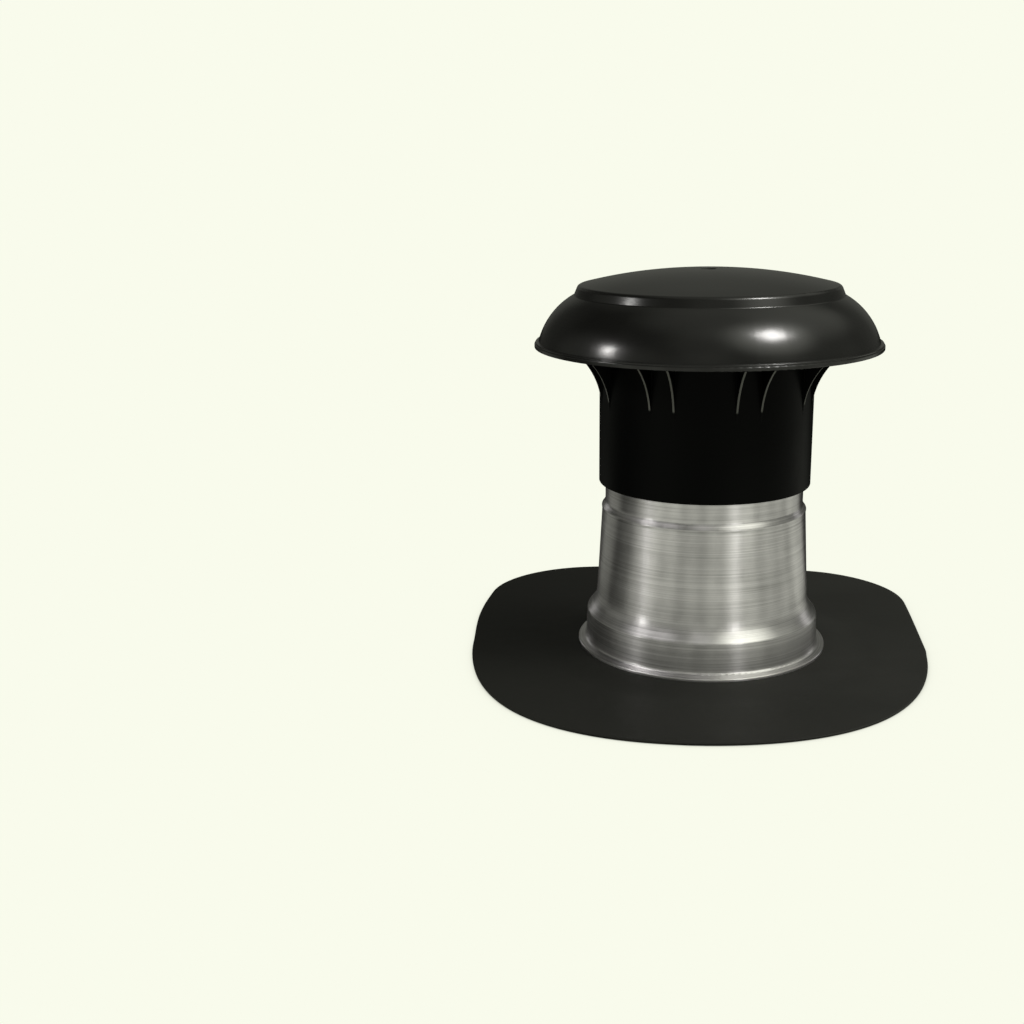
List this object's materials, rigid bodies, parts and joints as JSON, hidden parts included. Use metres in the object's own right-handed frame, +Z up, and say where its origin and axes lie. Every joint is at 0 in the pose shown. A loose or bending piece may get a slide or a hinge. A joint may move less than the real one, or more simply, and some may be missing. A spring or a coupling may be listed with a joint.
{
  "type": "flat roof vent cap",
  "caption": "Flat roof vent: domed black hood on a ribbed cowl sleeve, a spun aluminium base and a clamped rubber roofing sheet.",
  "frame": {"origin": "on the vent's axis, at the underside of the roofing sheet and flange", "axes": "+Z up along the vent's axis, -Y the front of the picture, +Y along the sheet's longer side"},
  "size_m": [0.3884, 0.4308, 0.3177],
  "materials": {
    "hood_plastic": "moulded black plastic, semi-gloss, finely grained disc",
    "sleeve_plastic": "moulded black plastic, satin",
    "spun_aluminium": "spun, with fine tool lines round the axis",
    "sheet_rubber": "matte black roofing rubber",
    "ring_aluminium": "mill finish sheet",
    "pipe_plastic": "moulded black plastic",
    "seal_rubber": "black rubber",
    "rivet_aluminium": "plain blind rivets",
    "mandrel_steel": "snapped steel stub"
  },
  "bodies": {
    "root": {"hood": "hood_plastic", "cowl_sleeve": "sleeve_plastic", "spun_base": "spun_aluminium", "roofing_sheet": "sheet_rubber", "clamp_ring": "ring_aluminium", "flange_socket": "pipe_plastic", "inner_pipe": "pipe_plastic", "lip_seal": "seal_rubber", "rivet_shells": "rivet_aluminium", "rivet_mandrels": "mandrel_steel"}
  },
  "joints": []
}
